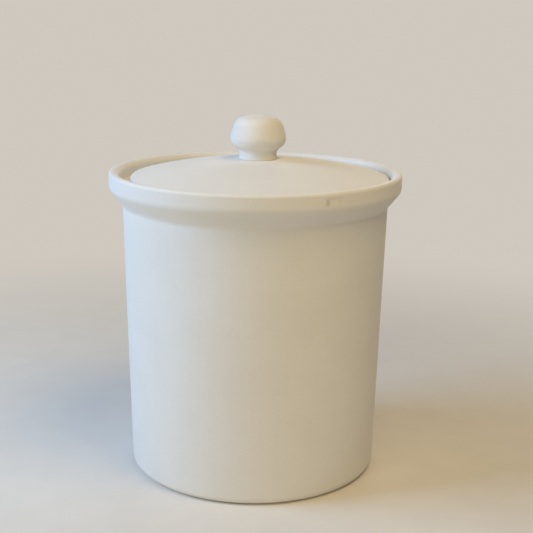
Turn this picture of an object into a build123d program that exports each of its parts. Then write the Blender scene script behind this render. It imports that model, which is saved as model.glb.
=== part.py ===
from build123d import *
import os

# Lidded storage jar in unglazed white ware: the jar, its drop-in lid and the hollow knob stuck on the lid.
# Lengths are in millimetres. The origin is the middle of the ring that the jar stands on, +Z is up,
# and every outline below is drawn as (distance from the axis, height).

# Jar, outside
rim_radius = 85.0  # upright face of the collar
jar_height = 177.4
collar_face = 9.2  # height of the upright face, its rounded edges included
collar_flare = 9.7  # height of the slope under that face
collar_overhang = 7.7  # how far the collar stands out from the wall
wall_lean = 4.1  # the wall is this much wider at the collar than at the foot
foot_round = 5.3
flare_hollow_round = 5.0
collar_low_round = 5.8
lip_outer_round = 1.8

# Jar, inside
wall = 5.5
floor = 6.0
floor_round = 10.0
lip = 5.7  # thickness of the lip at its top
lip_inner_round = 3.4

# Jar, recess under the base
foot_ring = 10.0  # width of the ring that the jar stands on, its rounded edges included
base_recess = 1.8
recess_run = 3.0  # slanted side of the recess
recess_round = 2.0
ring_edge_round = 1.0

# Jar, gallery that holds the lid
gallery_depth = 8.6  # from the lip's top down to the ledge
gallery_batter = 0.8  # the gallery's wall leans in this much towards the ledge
ledge_width = 7.5
shelf = 8.0  # upright face under the ledge
cove = 14.0  # the shelf runs out into the wall over this height
gallery_round = 1.5
ledge_edge_round = 0.8
cove_round = 12.0

# Lid, plate
lid_gap = 2.9  # between the lid's edge and the gallery's wall, when centred
lid_edge = 5.2
lid_wall = 5.0
dome_rise = 10.3  # from the edge's top to the pad under the knob
dome_bulge = 1.5  # how far the dome stands above a straight cone
edge_top_round = 2.5
edge_low_round = 1.6

# Lid, flange that drops inside the ledge
lid_play = 2.8  # between the flange and the ledge's edge, when centred
flange_depth = 10.0
flange_wall = 4.5
flange_taper = 0.8
flange_crown = 1.6  # height of the flange's rounded end
hollow_lift = 2.6  # the hollow under the dome starts this far above the seat
hollow_round = 4.0
vent_radius = 1.7  # pin hole that lets air out of the hollow knob while the ware is fired
pad_margin = 1.2  # the pad is this much wider all round than the knob's foot

# The lid lies pushed towards +X by this share of its play, as it does when it is dropped in by hand
lid_shift_share = 0.89

# Knob, heights above the pad that it is stuck on
knob_offset = 1.2  # from the lid's middle towards -X, as it was stuck on by eye
knob_foot_radius = 11.6
neck_radius = 10.8
neck_height = 3.0
crease_radius = 12.4  # where the neck's cove meets the head
crease_height = 6.2
belly_radius = 16.85  # lower corner of the head, before rounding
belly_height = 9.15
belly_round = 7.0
shoulder_radius = 13.2  # upper corner of the head, before rounding
shoulder_height = 22.5
shoulder_round = 8.2
side_bulge = 0.5  # how far the side stands out from a straight line
knob_height = 25.3
knob_wall = 5.0
knob_bore_radius = 5.5  # bore of the neck, open at its foot

# Places worked out from the sizes above
wall_top_radius = rim_radius - collar_overhang
foot_radius = wall_top_radius - wall_lean
collar_low = jar_height - collar_face
wall_top = collar_low - collar_flare
lip_inner_radius = rim_radius - lip
gallery_radius = lip_inner_radius - gallery_batter
throat_radius = gallery_radius - ledge_width
ledge = jar_height - gallery_depth

lid_radius = gallery_radius - lid_gap
flange_radius = throat_radius - lid_play
flange_inner_radius = flange_radius - flange_wall
flange_low = ledge - flange_depth
edge_top = ledge + lid_edge
pad = edge_top + dome_rise
lid_x = lid_play * lid_shift_share
knob_x = lid_x - knob_offset

lid_plane = Plane(origin=(lid_x, 0, 0), x_dir=(1, 0, 0), z_dir=(0, -1, 0))
lid_axis = Axis((lid_x, 0, 0), (0, 0, 1))
knob_plane = Plane(origin=(knob_x, 0, 0), x_dir=(1, 0, 0), z_dir=(0, -1, 0))
knob_axis = Axis((knob_x, 0, 0), (0, 0, 1))


def wall_outside(height):
    """Radius of the leaning wall's outer face at a height."""
    return foot_radius + wall_lean * height / wall_top


def round_corners(outline, corners):
    """Round corners of a flat outline, each given as its point and its radius."""
    for point, radius in corners:
        fillet(outline.vertices().sort_by_distance(point)[0], radius)


# Jar: one casting, with the recessed base, the leaning wall, the flared collar and the gallery
recess_top = (foot_radius - foot_ring - recess_run, base_recess)
ring_inner = (foot_radius - foot_ring, 0)
ring_outer = (foot_radius, 0)
flare_low = (wall_top_radius, wall_top)
flare_high = (rim_radius, collar_low)
lip_outer = (rim_radius, jar_height)
lip_inner = (lip_inner_radius, jar_height)
gallery_corner = (gallery_radius, ledge)
ledge_edge = (throat_radius, ledge)
shelf_low = (throat_radius, ledge - shelf)
cove_height = ledge - shelf - cove
cove_low = (wall_outside(cove_height) - wall, cove_height)
floor_corner = (wall_outside(floor) - wall, floor)

with BuildPart() as jar:
    with BuildSketch(Plane.XZ) as jar_section:
        with BuildLine():
            Polyline(
                (0, base_recess),
                recess_top,
                ring_inner,
                ring_outer,
                flare_low,
                flare_high,
                lip_outer,
                lip_inner,
                gallery_corner,
                ledge_edge,
                shelf_low,
                cove_low,
                floor_corner,
                (0, floor),
                close=True,
            )
        make_face()
        round_corners(
            jar_section,
            [
                (recess_top, recess_round),
                (ring_inner, ring_edge_round),
                (ring_outer, foot_round),
                (flare_low, flare_hollow_round),
                (flare_high, collar_low_round),
                (lip_outer, lip_outer_round),
                (lip_inner, lip_inner_round),
                (gallery_corner, gallery_round),
                (ledge_edge, ledge_edge_round),
                (shelf_low, cove_round),
                (cove_low, cove_round),
                (floor_corner, floor_round),
            ],
        )
    revolve(axis=Axis.Z)
jar.part.label = "jar"

# Lid: a low dome of even thickness, with a flat seat and a flange that keeps it in the throat
pad_edge = (knob_foot_radius + pad_margin, pad)
plate_top = (lid_radius, edge_top)
plate_low = (lid_radius, ledge)
seat_corner = (flange_radius, ledge)
flange_low_radius = flange_radius - flange_taper
flange_outer_low = (flange_low_radius, flange_low + flange_crown)
flange_end = ((flange_low_radius + flange_inner_radius) / 2, flange_low)
flange_inner_low = (flange_inner_radius, flange_low + flange_crown)
hollow_edge = (flange_inner_radius, ledge + hollow_lift)
vent_low = (vent_radius, pad - lid_wall)
vent_high = (vent_radius, pad)

with BuildPart() as lid:
    with BuildSketch(lid_plane) as lid_section:
        with BuildLine():
            Line(vent_high, pad_edge)
            SagittaArc(pad_edge, plate_top, dome_bulge)
            Polyline(plate_top, plate_low, seat_corner, flange_outer_low)
            ThreePointArc(flange_outer_low, flange_end, flange_inner_low)
            Line(flange_inner_low, hollow_edge)
            SagittaArc(hollow_edge, vent_low, -dome_bulge)
            Line(vent_low, vent_high)
        make_face()
        round_corners(
            lid_section,
            [
                (plate_top, edge_top_round),
                (plate_low, edge_low_round),
                (hollow_edge, hollow_round),
            ],
        )
    revolve(axis=lid_axis)
lid.part.label = "lid"

# Knob: a hollow head on a waisted neck, its open foot stuck flat on the lid's pad
foot_inner = (knob_bore_radius, pad)
foot_outer = (knob_foot_radius, pad)
neck = (neck_radius, pad + neck_height)
crease = (crease_radius, pad + crease_height)
belly = (belly_radius, pad + belly_height)
shoulder = (shoulder_radius, pad + shoulder_height)
knob_top = (0, pad + knob_height)
cavity_top = (0, pad + knob_height - knob_wall)
cavity_shoulder = (shoulder_radius - knob_wall, pad + knob_height - knob_wall)
cavity_belly = (belly_radius - knob_wall, pad + belly_height)
cavity_throat = (knob_bore_radius, pad + crease_height)

with BuildPart() as knob:
    with BuildSketch(knob_plane) as knob_section:
        with BuildLine():
            Line(foot_inner, foot_outer)
            ThreePointArc(foot_outer, neck, crease)
            Line(crease, belly)
            SagittaArc(belly, shoulder, -side_bulge)
            TangentArc(knob_top, shoulder, tangent=(1, 0))
            Polyline(
                knob_top,
                cavity_top,
                cavity_shoulder,
                cavity_belly,
                cavity_throat,
                foot_inner,
            )
        make_face()
        round_corners(knob_section, [(belly, belly_round), (shoulder, shoulder_round)])
    revolve(axis=knob_axis)
knob.part.label = "knob"

os.makedirs("parts", exist_ok=True)
for piece in (jar, lid, knob):
    export_step(piece.part, f"parts/{piece.part.label}.step")
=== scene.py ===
import math

import bpy
from mathutils import Matrix, Vector, noise


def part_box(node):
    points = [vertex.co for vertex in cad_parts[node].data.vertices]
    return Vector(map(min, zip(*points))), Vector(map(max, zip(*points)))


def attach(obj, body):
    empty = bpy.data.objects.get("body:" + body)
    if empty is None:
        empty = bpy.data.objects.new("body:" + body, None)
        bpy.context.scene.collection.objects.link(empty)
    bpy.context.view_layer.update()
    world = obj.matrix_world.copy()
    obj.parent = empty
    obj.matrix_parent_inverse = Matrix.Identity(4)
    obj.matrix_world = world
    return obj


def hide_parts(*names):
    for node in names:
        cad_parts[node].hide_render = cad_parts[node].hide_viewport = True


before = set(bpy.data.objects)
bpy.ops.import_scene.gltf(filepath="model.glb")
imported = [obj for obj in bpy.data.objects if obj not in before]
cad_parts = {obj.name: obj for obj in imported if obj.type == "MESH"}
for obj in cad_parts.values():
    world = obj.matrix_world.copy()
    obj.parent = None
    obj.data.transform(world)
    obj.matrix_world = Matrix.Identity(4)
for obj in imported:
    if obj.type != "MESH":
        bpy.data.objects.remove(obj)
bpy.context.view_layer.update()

# Lidded storage jar in matt white bisque: the jar, its lid and the knob stuck on the lid.
# Lengths are in metres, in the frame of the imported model, with +Z up and the camera on the -Y side.
# Azimuths turn about +Z, from the front towards +X.

MM = 0.001

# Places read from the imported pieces
jar_low, jar_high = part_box("jar")
lid_low, lid_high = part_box("lid")
knob_low, knob_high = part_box("knob")

# Jar, outside
rim_radius = (jar_high.x - jar_low.x) / 2
jar_height = jar_high.z
collar_face = 9.2 * MM
collar_flare = 9.7 * MM
collar_overhang = 7.7 * MM
wall_lean = 4.1 * MM
foot_round = 5.3 * MM
flare_hollow_round = 5.0 * MM
collar_low_round = 5.8 * MM
lip_outer_round = 1.8 * MM

# Jar, inside and under the base
wall = 5.5 * MM
floor = 6.0 * MM
floor_round = 10.0 * MM
lip = 5.7 * MM
lip_inner_round = 3.4 * MM
foot_ring = 10.0 * MM
base_recess = 1.8 * MM
recess_run = 3.0 * MM
recess_round = 2.0 * MM
ring_edge_round = 1.0 * MM

# Jar, gallery that holds the lid
gallery_depth = 8.6 * MM
gallery_batter = 0.8 * MM
ledge_width = 7.5 * MM
shelf = 8.0 * MM
cove = 14.0 * MM
gallery_round = 1.5 * MM
ledge_edge_round = 0.8 * MM
cove_round = 12.0 * MM

# Lid
lid_radius = (lid_high.x - lid_low.x) / 2
lid_edge = 5.2 * MM
lid_wall = 5.0 * MM
dome_bulge = 1.5 * MM
edge_top_round = 2.5 * MM
edge_low_round = 1.6 * MM
lid_play = 2.8 * MM
flange_wall = 4.5 * MM
flange_taper = 0.8 * MM
flange_crown = 1.6 * MM
seat_round = 0.8 * MM
hollow_lift = 2.6 * MM
hollow_round = 4.0 * MM
vent_radius = 1.7 * MM
vent_round = 0.5 * MM
pad_margin = 1.2 * MM

# Knob, heights above the lid's pad
knob_foot_radius = 11.6 * MM
neck_radius = 10.8 * MM
neck_height = 3.0 * MM
crease_radius = 12.4 * MM
crease_height = 6.2 * MM
belly_radius = 16.85 * MM
belly_height = 9.15 * MM
belly_round = 7.0 * MM
shoulder_radius = 13.2 * MM
shoulder_height = 22.5 * MM
shoulder_round = 8.2 * MM
side_bulge = 0.5 * MM
knob_wall = 5.0 * MM
knob_bore_radius = 5.5 * MM
cavity_round = 4.0 * MM

# Places worked out from the sizes above
wall_top_radius = rim_radius - collar_overhang
foot_radius = wall_top_radius - wall_lean
ring_inner_radius = foot_radius - foot_ring
collar_low = jar_height - collar_face
wall_top = collar_low - collar_flare
gallery_radius = rim_radius - lip - gallery_batter
throat_radius = gallery_radius - ledge_width
ledge = jar_height - gallery_depth
edge_top = ledge + lid_edge
pad = knob_low.z
lid_x = (lid_low.x + lid_high.x) / 2
knob_x = (knob_low.x + knob_high.x) / 2

# Collar's face, marks drawn darker: an upright nick, a faint line from its top to the right, a spot under
# the line
nick_azimuth = math.radians(26.3)
nick_low = 170.3 * MM
nick_high = 174.3 * MM
nick_half_width = 1.2 * MM
nick_depth = 0.12 * MM
nick_edge = 0.9 * MM
mark_fade_edge = 1.6 * nick_edge  # the nick's darkening fades from this far inside the nick's side
line_height = 174.3 * MM
line_half_width = 1.5 * MM
line_length = 10.5 * MM
line_even_length = 0.7 * line_length  # beyond this the line fades
spot_along = 7.5 * MM
spot_height = 173.0 * MM
spot_radius = 2.0 * MM
spot_even_radius = 0.3 * spot_radius  # beyond this the spot fades
face_depth = 3.0 * MM  # nothing is marked that lies deeper inside the rim's radius than this
face_even_depth = 0.5 * face_depth  # deeper than this the marks fade
mark_strength = 0.46  # of the nick's darkening; the line and the spot are shares of it
line_strength = 0.38
spot_strength = 0.25

# Meshes
row_step = 5.0 * MM
least_rows = 8
least_radius = 0.001 * MM
arc_step = math.radians(9)
least_arc_steps = 3
columns = 192
nick_columns = 24
casting_give = 0.15 * MM
give_scale = 14.0

# Camera of the photograph
image_width = 533
focal_pixels = 1107.27
sensor_width = 36.0
camera_pitch = math.radians(13.660)
camera_yaw = math.radians(0.633)
camera_roll = math.radians(0.756)
camera_distance = 639.96 * MM
camera_height = 275.20 * MM

# Bisque, colours as linear red, green and blue
ware_colour = (0.780, 0.762, 0.722)
# Paler tone: the ware's clouds, and the painted highlight with handling wear on outward edges
ware_pale_and_highlight = (0.840, 0.826, 0.795)
ware_warm = (0.800, 0.765, 0.690)
ware_grain = (0.700, 0.675, 0.620)
# Darker tone: painted shade and dust in inward roundings and hollows; the pinholes are drawn in it too
ware_shade_and_dust = (0.560, 0.515, 0.440)
speck_colour = (0.430, 0.360, 0.280)
# Darker colour drawn on the collar's nick, line and spot
collar_mark_colour = (0.380, 0.300, 0.210)

# Bisque, noises as scale in a metre, detail and roughness, each with the range of its values that is used
cloud_noise = (32.0, 4.0, 0.6)
cloud_range = (0.32, 0.68)
warm_noise = (11.0, 2.0, 0.5)
warm_range = (0.35, 0.70)
grain_noise = (1300.0, 3.0, 0.65)
grain_range = (0.35, 0.65)
wipe_noise = (1.0, 2.0, 0.6)
wipe_range = (0.35, 0.75)
wipe_stretch = (5.0, 5.0, 240.0)

# Bisque, dots as cells in a metre, share of the cells without a dot, even and whole radius in cells
pit_scale = 420.0
pit_rarity = 0.90
pit_reach = (0.05, 0.11)
speck_scale = 260.0
speck_rarity = 0.93
speck_reach = (0.03, 0.07)

# Bisque, how strongly each layer covers the ones before it
cloud_strength = 0.42
warm_strength = 0.25
grain_strength = 0.24
wipe_strength = 0.06
edge_wear_and_highlight_strength = 0.30
edge_wear_and_highlight_least_share = 0.5  # of the edge's wear and painted highlight, on an edge where there is no cloud
shade_and_dust_strength = 0.22
speck_strength = 0.55
pit_strength = 0.35

# Bisque, gloss and relief
smooth_grain = (0.3, 0.64)  # a value of the grain, and the roughness there
rough_grain = (0.7, 0.80)
handled_polish = 0.10
cloud_roughness = 0.05
specular_level = 0.35
bump_height = 0.05 * MM
grain_relief = 0.5
wipe_relief = 0.5
pit_relief = 2.0

# Surroundings
ground_colour = (0.62, 0.58, 0.52)
floor_colour = (0.78, 0.74, 0.68)
floor_shade_share = 0.97  # of the floor's colour, where it is darkest
floor_noise = (40.0, 4.0)
floor_range = (0.3, 0.7)
floor_radius = 3.0
fade_start = 0.12
fade_end = 0.60
world_light = (1.0, 0.94, 0.82)
world_strength = 0.155

# Lamps: name, azimuth and elevation in degrees, distance and side in metres, watts, colour
lamp_target = Vector((0.0, 0.0, 0.1))
lamps = [
    ("cool_window", -80.0, 30.0, 0.8, 0.4, 5.1, (0.40, 0.63, 1.0)),
    ("front_soft", -20.0, 20.0, 1.6, 1.3, 6.9, (1.0, 0.85, 0.53)),
    ("warm_above", 40.0, 62.0, 0.9, 0.4, 3.05, (1.0, 0.76, 0.41)),
    ("back_fill", 165.0, 14.0, 1.6, 1.0, 6.2, (1.0, 0.96, 0.92)),
]


def corner_turn(before, after):
    """Left turn from one heading to the next, between minus and plus half a turn."""
    return (after - before + math.pi) % (2 * math.pi) - math.pi


def bulge_through(start, middle, end):
    """Bulge of the arc from start to end through a middle point, to the left of its way."""
    chord = math.hypot(end[0] - start[0], end[1] - start[1])
    to_start = math.atan2(start[1] - middle[1], start[0] - middle[0])
    to_end = math.atan2(end[1] - middle[1], end[0] - middle[0])
    seen = corner_turn(to_start, to_end)
    return math.copysign(chord / 2 * math.tan((math.pi - abs(seen)) / 2), seen)


def side_shape(start, end, bulge):
    """Heading at its start, whole turn to the right and length of a side; its bulge counts to the left."""
    chord = math.hypot(end[0] - start[0], end[1] - start[1])
    heading = math.atan2(end[1] - start[1], end[0] - start[0])
    half_turn = 2 * math.atan2(2 * bulge, chord)
    length = chord * half_turn / math.sin(half_turn) if bulge else chord
    return heading + half_turn, 2 * half_turn, length


def side_point(start, end, bulge, along):
    """Place and heading at a distance along a side."""
    heading, turn, length = side_shape(start, end, bulge)
    if not bulge:
        return (start[0] + along * math.cos(heading), start[1] + along * math.sin(heading)), heading
    radius = length / turn
    here = heading - along / radius
    place = (
        start[0] + radius * (math.sin(heading) - math.sin(here)),
        start[1] + radius * (math.cos(here) - math.cos(heading)),
    )
    return place, here


def bend(start, start_heading, end, end_heading):
    """Points of a round corner between two places and headings, on a cubic curve, and its left turn."""
    turn = corner_turn(start_heading, end_heading)
    chord = math.hypot(end[0] - start[0], end[1] - start[1])
    radius = chord / (2 * math.sin(abs(turn) / 2))
    reach = 4 / 3 * math.tan(abs(turn) / 4) * radius
    handles = (
        start,
        (start[0] + reach * math.cos(start_heading), start[1] + reach * math.sin(start_heading)),
        (end[0] - reach * math.cos(end_heading), end[1] - reach * math.sin(end_heading)),
        end,
    )
    count = max(least_arc_steps, math.ceil(abs(turn) / arc_step))
    points = []
    for i in range(count + 1):
        t = i / count
        weights = ((1 - t) ** 3, 3 * t * (1 - t) ** 2, 3 * t * t * (1 - t), t ** 3)
        points.append(tuple(sum(w * h[k] for w, h in zip(weights, handles)) for k in (0, 1)))
    return points, turn


def trace(corners, closed):
    """Rows (radius, height, edge) along an outline of corners (radius, height, rounding, next side's bulge).

    The solid is on the left of the way. The edge is 1 on an outward rounding and -1 on an inward one."""
    count = len(corners)
    sides = count if closed else count - 1
    shapes = [
        (corners[i][:2], corners[(i + 1) % count][:2], corners[i][3])
        for i in range(sides)
    ]
    trims = []
    for i in range(count):
        rounding = corners[i][2]
        if not rounding:
            trims.append(0.0)
            continue
        heading_in, turn_in, _ = side_shape(*shapes[i - 1])
        heading_out, _, _ = side_shape(*shapes[i])
        turn = corner_turn(heading_in - turn_in, heading_out)
        trims.append(rounding * math.tan(abs(turn) / 2))

    rows = []
    for i, shape in enumerate(shapes):
        length = side_shape(*shape)[2]
        start, end = trims[i], length - trims[(i + 1) % count]
        steps = max(least_rows, math.ceil((end - start) / row_step))
        for k in range(steps + 1):
            place, _ = side_point(*shape, start + (end - start) * k / steps)
            rows.append((place[0], place[1], 0.0))
        following = (i + 1) % count
        if trims[following]:
            place, heading = side_point(*shape, end)
            next_place, next_heading = side_point(*shapes[following], trims[following])
            points, turn = bend(place, heading, next_place, next_heading)
            sign = math.copysign(1.0, turn)
            rows.extend((x, z, sign) for x, z in points[1:-1])
        elif closed or i + 1 < sides:
            rows.pop()
    return rows


def outward(rows, i, closed):
    """How far the surface at a row faces away from the axis, from -1 to 1."""
    before = rows[i - 1] if i or closed else rows[0]
    after = rows[(i + 1) % len(rows)] if i + 1 < len(rows) or closed else rows[-1]
    run, rise = after[0] - before[0], after[1] - before[1]
    return rise / math.hypot(run, rise)


def lathe(name, rows, closed, centre_x, azimuths, sink):
    """Mesh object turned from rows about an upright axis, with the edge value kept on its points.

    sink(radius, height, azimuth) is how far an upright surface lies inside the true outline there."""
    vertices, edges, rings = [], [], []
    for i, (radius, height, edge) in enumerate(rows):
        if radius < least_radius:
            rings.append([len(vertices)])
            vertices.append((centre_x, 0.0, height))
            edges.append(edge)
            continue
        facing = outward(rows, i, closed)
        rings.append(range(len(vertices), len(vertices) + len(azimuths)))
        for azimuth in azimuths:
            r = radius - facing * sink(radius, height, azimuth)
            vertices.append((centre_x + r * math.sin(azimuth), -r * math.cos(azimuth), height))
            edges.append(edge)

    faces = []
    pairs = list(zip(rings, rings[1:]))
    if closed:
        pairs.append((rings[-1], rings[0]))
    for lower, upper in pairs:
        for j in range(len(azimuths)):
            k = (j + 1) % len(azimuths)
            if len(lower) == 1:
                faces.append((lower[0], upper[k], upper[j]))
            elif len(upper) == 1:
                faces.append((lower[j], lower[k], upper[0]))
            else:
                faces.append((lower[j], lower[k], upper[k], upper[j]))

    mesh = bpy.data.meshes.new(name)
    mesh.from_pydata(vertices, [], faces)
    mesh.attributes.new("edge", "FLOAT", "POINT").data.foreach_set("value", edges)
    mesh.shade_smooth()
    piece = bpy.data.objects.new(name, mesh)
    bpy.context.scene.collection.objects.link(piece)
    return piece


def smooth_step(low, high, value):
    """0 below low, 1 above high and a smooth rise between them."""
    t = min(1.0, max(0.0, (value - low) / (high - low)))
    return t * t * (3 - 2 * t)


def even_azimuths():
    """Azimuths of a full turn."""
    return [2 * math.pi * i / columns for i in range(columns)]


def nicked_azimuths():
    """Azimuths of a full turn, closer together across the nick."""
    reach = (nick_half_width + 2 * nick_edge) / rim_radius
    fine = [nick_azimuth + reach * (2 * i / nick_columns - 1) for i in range(nick_columns + 1)]
    return sorted([a for a in even_azimuths() if abs(a - nick_azimuth) > reach] + fine)


def casting_sink(radius, height, azimuth):
    """Slight unevenness of a casting, always inside the true outline and alike at every radius."""
    where = Vector((math.sin(azimuth), math.cos(azimuth), height * give_scale))
    return casting_give * (1 + noise.noise(where)) / 2


def nick_sink(radius, height, azimuth):
    """Depth of the nick in the collar's face at a place."""
    if radius < rim_radius - face_depth:
        return 0.0
    across = abs(azimuth - nick_azimuth) * rim_radius
    sides = 1 - smooth_step(nick_half_width - nick_edge, nick_half_width + nick_edge, across)
    upper = 1 - smooth_step(nick_high - nick_edge, nick_high + nick_edge, height)
    lower = smooth_step(nick_low - nick_edge, nick_low + nick_edge, height)
    return nick_depth * sides * upper * lower


def jar_sink(radius, height, azimuth):
    """Unevenness and nick of the jar together."""
    return casting_sink(radius, height, azimuth) + nick_sink(radius, height, azimuth)


def inner_wall(height):
    """Radius of the jar's leaning wall on its inside at a height."""
    return foot_radius + wall_lean * height / wall_top - wall


def jar_outline():
    """Corners of the jar's section, from the middle of its underside round to the middle of its floor."""
    cove_height = ledge - shelf - cove
    return [
        (0.0, base_recess, 0.0, 0.0),
        (ring_inner_radius - recess_run, base_recess, recess_round, 0.0),
        (ring_inner_radius, 0.0, ring_edge_round, 0.0),
        (foot_radius, 0.0, foot_round, 0.0),
        (wall_top_radius, wall_top, flare_hollow_round, 0.0),
        (rim_radius, collar_low, collar_low_round, 0.0),
        (rim_radius, jar_height, lip_outer_round, 0.0),
        (rim_radius - lip, jar_height, lip_inner_round, 0.0),
        (gallery_radius, ledge, gallery_round, 0.0),
        (throat_radius, ledge, ledge_edge_round, 0.0),
        (throat_radius, ledge - shelf, cove_round, 0.0),
        (inner_wall(cove_height), cove_height, cove_round, 0.0),
        (inner_wall(floor), floor, floor_round, 0.0),
        (0.0, floor, 0.0, 0.0),
    ]


def lid_outline():
    """Corners of the lid's section, from the vent's lower end round by the flange to its upper end."""
    flange_radius = throat_radius - lid_play
    flange_inner_radius = flange_radius - flange_wall
    flange_low_radius = flange_radius - flange_taper
    flange_side = lid_low.z + flange_crown
    return [
        (vent_radius, pad - lid_wall, vent_round, dome_bulge),
        (flange_inner_radius, ledge + hollow_lift, hollow_round, 0.0),
        (flange_inner_radius, flange_side, 0.0, -flange_crown),
        (flange_low_radius, flange_side, 0.0, 0.0),
        (flange_radius, ledge, seat_round, 0.0),
        (lid_radius, ledge, edge_low_round, 0.0),
        (lid_radius, edge_top, edge_top_round, -dome_bulge),
        (knob_foot_radius + pad_margin, pad, 0.0, 0.0),
        (vent_radius, pad, vent_round, 0.0),
    ]


def knob_outline():
    """Corners of the knob's section, from the top of its cavity round by its foot to its crown."""
    crown_rise = knob_high.z - pad - shoulder_height
    crown_chord = math.hypot(shoulder_radius, crown_rise)
    crown_radius = crown_chord ** 2 / (2 * crown_rise)
    crown_bulge = crown_radius - math.sqrt(crown_radius ** 2 - crown_chord ** 2 / 4)
    roof = knob_high.z - knob_wall
    foot = (knob_foot_radius, pad)
    neck = (neck_radius, pad + neck_height)
    crease = (crease_radius, pad + crease_height)
    return [
        (0.0, roof, 0.0, 0.0),
        (shoulder_radius - knob_wall, roof, cavity_round, 0.0),
        (belly_radius - knob_wall, pad + belly_height, cavity_round, 0.0),
        (knob_bore_radius, pad + crease_height, 0.0, 0.0),
        (knob_bore_radius, pad, 0.0, 0.0),
        (*foot, 0.0, bulge_through(foot, neck, crease)),
        (*crease, 0.0, 0.0),
        (belly_radius, pad + belly_height, belly_round, -side_bulge),
        (shoulder_radius, pad + shoulder_height, shoulder_round, -crown_bulge),
        (0.0, knob_high.z, 0.0, 0.0),
    ]


def piece_of(node, body, outline, closed, centre_x, azimuths, sink, material):
    """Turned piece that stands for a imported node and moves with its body."""
    piece = lathe(f"{node}_ware", trace(outline, closed), closed, centre_x, azimuths, sink)
    piece.data.materials.append(material)
    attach(piece, body)
    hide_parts(node)
    return piece


class Nodes:
    """Short way to build a material's node tree."""

    # Sockets of a Mix node that is set to colours
    mix_factor, mix_first, mix_second = 0, 6, 7
    mix_result = 2

    def __init__(self, tree):
        self.tree = tree
        tree.nodes.clear()

    def feed(self, socket, value):
        """Give a socket a value or another node's output."""
        if isinstance(value, bpy.types.NodeSocket):
            self.tree.links.new(value, socket)
        else:
            socket.default_value = value

    def add(self, kind, inputs=None, **settings):
        """New node with its settings and its inputs."""
        node = self.tree.nodes.new(kind)
        for name, value in settings.items():
            setattr(node, name, value)
        for name, value in (inputs or {}).items():
            self.feed(node.inputs[name], value)
        return node

    def maths(self, operation, first, second=0.0, clamp=False):
        """Result of a sum on one or two numbers."""
        inputs = {0: first, 1: second}
        return self.add("ShaderNodeMath", inputs, operation=operation, use_clamp=clamp).outputs[0]

    def times(self, first, second):
        """Product of two numbers."""
        return self.maths("MULTIPLY", first, second)

    def ramp(self, value, low, high, out_low=0.0, out_high=1.0):
        """Value moved smoothly from low..high to out_low..out_high."""
        inputs = {"Value": value, "From Min": low, "From Max": high, "To Min": out_low, "To Max": out_high}
        return self.add("ShaderNodeMapRange", inputs, interpolation_type="SMOOTHSTEP").outputs[0]

    def blend(self, factor, first, second):
        """Colour between two colours."""
        node = self.add("ShaderNodeMix", data_type="RGBA")
        self.feed(node.inputs[self.mix_factor], factor)
        for socket, colour in ((self.mix_first, first), (self.mix_second, second)):
            is_output = isinstance(colour, bpy.types.NodeSocket)
            self.feed(node.inputs[socket], colour if is_output else (*colour, 1.0))
        return node.outputs[self.mix_result]

    def noise(self, where, scale, detail, roughness=0.5):
        """Value of a noise at a place."""
        inputs = {"Vector": where, "Scale": scale, "Detail": detail, "Roughness": roughness}
        return self.add("ShaderNodeTexNoise", inputs).outputs["Fac"]

    def dots(self, where, scale, rarity, channel, reach):
        """1 in a dot and 0 outside; a channel of each cell's own colour picks the few cells with a dot."""
        cells = self.add("ShaderNodeTexVoronoi", {"Vector": where, "Scale": scale}).outputs
        luck = self.add("ShaderNodeSeparateColor", {"Color": cells["Color"]}).outputs[channel]
        picked = self.maths("GREATER_THAN", luck, rarity)
        return self.times(self.ramp(cells["Distance"], *reach, 1.0, 0.0), picked)


def collar_marks(n, place):
    """How much darker the collar's face is drawn: at its nick, along the faint line beside it and in the
    spot below it.
    """
    parts = n.add("ShaderNodeSeparateXYZ", {0: place}).outputs
    azimuth = n.maths("ARCTAN2", parts["X"], n.times(parts["Y"], -1.0))
    along = n.times(n.maths("SUBTRACT", azimuth, nick_azimuth), rim_radius)
    flat = n.add("ShaderNodeCombineXYZ", {"X": parts["X"], "Y": parts["Y"]}).outputs[0]
    radius = n.add("ShaderNodeVectorMath", {0: flat}, operation="LENGTH").outputs["Value"]
    outside = n.ramp(radius, rim_radius - face_depth, rim_radius - face_even_depth)

    across = n.maths("ABSOLUTE", along)
    nick = n.ramp(across, nick_half_width - mark_fade_edge, nick_half_width + nick_edge, 1.0, 0.0)
    nick = n.times(nick, n.ramp(parts["Z"], nick_low - nick_edge, nick_low + nick_edge))
    nick = n.times(nick, n.ramp(parts["Z"], nick_high - nick_edge, nick_high + nick_edge, 1.0, 0.0))

    off_line = n.maths("ABSOLUTE", n.maths("SUBTRACT", parts["Z"], line_height))
    line = n.ramp(off_line, 0.0, line_half_width, 1.0, 0.0)
    line = n.times(line, n.ramp(along, -nick_edge, nick_edge))
    line = n.times(line, n.ramp(along, line_even_length, line_length, 1.0, 0.0))

    here = n.add("ShaderNodeCombineXYZ", {"X": along, "Y": parts["Z"]}).outputs[0]
    middle = (spot_along, spot_height, 0.0)
    off_spot = n.add("ShaderNodeVectorMath", {0: here, 1: middle}, operation="DISTANCE").outputs["Value"]
    spot = n.ramp(off_spot, spot_even_radius, spot_radius, 1.0, 0.0)

    marks_darkening = n.maths("MAXIMUM", nick, n.times(line, line_strength))
    marks_darkening = n.maths("MAXIMUM", marks_darkening, n.times(spot, spot_strength))
    return n.times(n.times(marks_darkening, outside), mark_strength)


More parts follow.
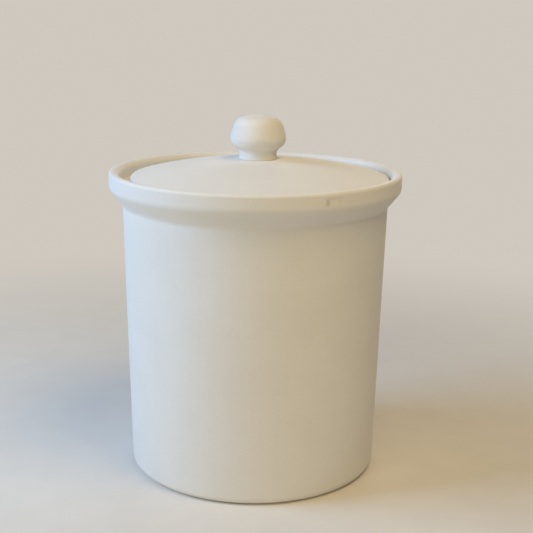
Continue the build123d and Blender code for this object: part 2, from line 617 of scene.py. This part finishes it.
def bisque(name, nicked):
    """Matt unglazed white ware: clouds, fine grain, wiped rings, pinholes and specks; outward edges painted
    lighter as wear and highlight, hollows painted darker as shade and dust.
    """
    material = bpy.data.materials.new(name)
    material.use_nodes = True
    n = Nodes(material.node_tree)
    place = n.add("ShaderNodeTexCoord").outputs["Object"]
    lying = n.add("ShaderNodeMapping", {"Vector": place, "Scale": wipe_stretch}).outputs[0]
    edge = n.add("ShaderNodeAttribute", attribute_name="edge").outputs["Fac"]

    clouds = n.ramp(n.noise(place, *cloud_noise), *cloud_range)
    warmth = n.ramp(n.noise(place, *warm_noise), *warm_range)
    grain = n.noise(place, *grain_noise)
    wiped = n.noise(lying, *wipe_noise)
    pits = n.dots(place, pit_scale, pit_rarity, "Red", pit_reach)
    specks = n.dots(place, speck_scale, speck_rarity, "Green", speck_reach)
    # Outward roundings are painted lighter: partly wear from handling, partly a painted highlight where the
    # edges catch the light
    edge_wear_and_highlight = n.times(n.maths("MAXIMUM", edge, 0.0), n.ramp(clouds, 0.0, 1.0, edge_wear_and_highlight_least_share, 1.0))
    # Inward roundings (creases, hollows, the gallery) are painted darker: painted shade standing in for
    # occlusion, and dust
    shade_and_dust = n.times(n.maths("MAXIMUM", n.times(edge, -1.0), 0.0), clouds)

    layers = [
        (n.times(clouds, cloud_strength), ware_pale_and_highlight),
        (n.times(warmth, warm_strength), ware_warm),
        (n.ramp(grain, *grain_range, 0.0, grain_strength), ware_grain),
        (n.ramp(wiped, *wipe_range, 0.0, wipe_strength), ware_grain),
        # painted highlight and handling wear on outward edges
        (n.times(edge_wear_and_highlight, edge_wear_and_highlight_strength), ware_pale_and_highlight),
        # painted shade and dust in inward roundings
        (n.times(shade_and_dust, shade_and_dust_strength), ware_shade_and_dust),
        (n.times(specks, speck_strength), speck_colour),
        # pinholes drawn in the darker tone
        (n.times(pits, pit_strength), ware_shade_and_dust),
    ]
    # the collar's nick, line and spot are drawn darker
    if nicked:
        layers.append((collar_marks(n, place), collar_mark_colour))
    colour = ware_colour
    for strength, layer_colour in layers:
        colour = n.blend(strength, colour, layer_colour)

    roughness = n.ramp(grain, smooth_grain[0], rough_grain[0], smooth_grain[1], rough_grain[1])
    roughness = n.maths("SUBTRACT", roughness, n.times(edge_wear_and_highlight, handled_polish))
    roughness = n.maths("ADD", roughness, n.times(clouds, cloud_roughness), clamp=True)

    height = n.times(grain, grain_relief)
    height = n.maths("ADD", height, n.times(wiped, wipe_relief))
    height = n.maths("SUBTRACT", height, n.times(pits, pit_relief))
    bump = n.add("ShaderNodeBump", {"Strength": 1.0, "Distance": bump_height, "Height": height}).outputs[0]

    shader = n.add("ShaderNodeBsdfPrincipled", {
        "Base Color": colour,
        "Roughness": roughness,
        "Normal": bump,
        "Specular IOR Level": specular_level,
    })
    n.add("ShaderNodeOutputMaterial", {"Surface": shader.outputs[0]})
    return material


def polar_place(radius, azimuth, height):
    """Place at a radius from the jar's axis, an azimuth and a height."""
    return Vector((radius * math.sin(azimuth), -radius * math.cos(azimuth), height))


def seen_directly(n):
    """1 for rays that show the surroundings: from the camera, in reflections or through glass."""
    path = n.add("ShaderNodeLightPath").outputs
    seen = n.maths("MAXIMUM", path["Is Camera Ray"], path["Is Glossy Ray"])
    return n.maths("MAXIMUM", seen, path["Is Transmission Ray"])


def make_floor():
    """Pale floor that takes the shadow near the object and runs out into the plain background."""
    mesh = bpy.data.meshes.new("floor")
    rim = [tuple(polar_place(floor_radius, a, 0.0)) for a in even_azimuths()]
    mesh.from_pydata(rim, [], [tuple(range(len(rim)))])
    material = bpy.data.materials.new("pale_floor")
    material.use_nodes = True
    n = Nodes(material.node_tree)
    place = n.add("ShaderNodeTexCoord").outputs["Object"]
    darker = [floor_shade_share * c for c in floor_colour]
    tone = n.blend(n.ramp(n.noise(place, *floor_noise), *floor_range), floor_colour, darker)
    matt = n.add("ShaderNodeBsdfDiffuse", {"Color": tone})
    plain = n.add("ShaderNodeEmission", {"Color": (*ground_colour, 1.0)})
    away = n.add("ShaderNodeVectorMath", {0: place}, operation="LENGTH").outputs["Value"]
    factor = n.times(n.ramp(away, fade_start, fade_end), seen_directly(n))
    shader = n.add("ShaderNodeMixShader", {0: factor, 1: matt.outputs[0], 2: plain.outputs[0]})
    n.add("ShaderNodeOutputMaterial", {"Surface": shader.outputs[0]})
    mesh.materials.append(material)
    ground = bpy.data.objects.new("floor", mesh)
    bpy.context.scene.collection.objects.link(ground)


def make_world():
    """Even warm-white light from all round, seen as the plain background."""
    world = bpy.data.worlds.new("studio")
    bpy.context.scene.world = world
    world.use_nodes = True
    n = Nodes(world.node_tree)
    light = n.add("ShaderNodeBackground", {"Color": (*world_light, 1.0), "Strength": world_strength})
    plain = n.add("ShaderNodeBackground", {"Color": (*ground_colour, 1.0), "Strength": 1.0})
    shader = n.add("ShaderNodeMixShader", {0: seen_directly(n), 1: light.outputs[0], 2: plain.outputs[0]})
    n.add("ShaderNodeOutputWorld", {"Surface": shader.outputs[0]})


def soft_lamp(name, azimuth, elevation, distance, size, power, colour):
    """Square lamp at a direction seen from the object, aimed at it and not seen itself."""
    lamp = bpy.data.lights.new(name, "AREA")
    lamp.shape = "SQUARE"
    lamp.size = size
    lamp.energy = power
    lamp.color = colour
    around, up = math.radians(azimuth), math.radians(elevation)
    place = polar_place(distance * math.cos(up), around, distance * math.sin(up))
    holder = bpy.data.objects.new(name, lamp)
    holder.location = place + lamp_target
    holder.rotation_euler = (-place).to_track_quat("-Z", "Y").to_euler()
    holder.visible_camera = False
    bpy.context.scene.collection.objects.link(holder)


def make_camera():
    """Camera placed and turned as the photograph was taken."""
    forward = Vector((
        math.sin(camera_yaw) * math.cos(camera_pitch),
        math.cos(camera_yaw) * math.cos(camera_pitch),
        -math.sin(camera_pitch),
    ))
    level_right = Vector((math.cos(camera_yaw), -math.sin(camera_yaw), 0.0))
    level_up = level_right.cross(forward)
    right = math.cos(camera_roll) * level_right + math.sin(camera_roll) * level_up
    up = right.cross(forward)
    camera = bpy.data.cameras.new("camera")
    camera.sensor_width = sensor_width
    camera.lens = sensor_width * focal_pixels / image_width
    holder = bpy.data.objects.new("camera", camera)
    turn = Matrix((right, up, -forward)).transposed().to_4x4()
    holder.matrix_world = Matrix.Translation((0.0, -camera_distance, camera_height)) @ turn
    bpy.context.scene.collection.objects.link(holder)
    bpy.context.scene.camera = holder


plain_ware = bisque("bisque_ware", nicked=False)
nicked_ware = bisque("bisque_ware_nicked", nicked=True)
piece_of("jar", "jar", jar_outline(), False, 0.0, nicked_azimuths(), jar_sink, nicked_ware)
piece_of("lid", "lid", lid_outline(), True, lid_x, even_azimuths(), casting_sink, plain_ware)
piece_of("knob", "lid", knob_outline(), False, knob_x, even_azimuths(), casting_sink, plain_ware)

make_floor()
make_world()
for lamp_values in lamps:
    soft_lamp(*lamp_values)
make_camera()
bpy.context.scene.view_settings.view_transform = "Standard"
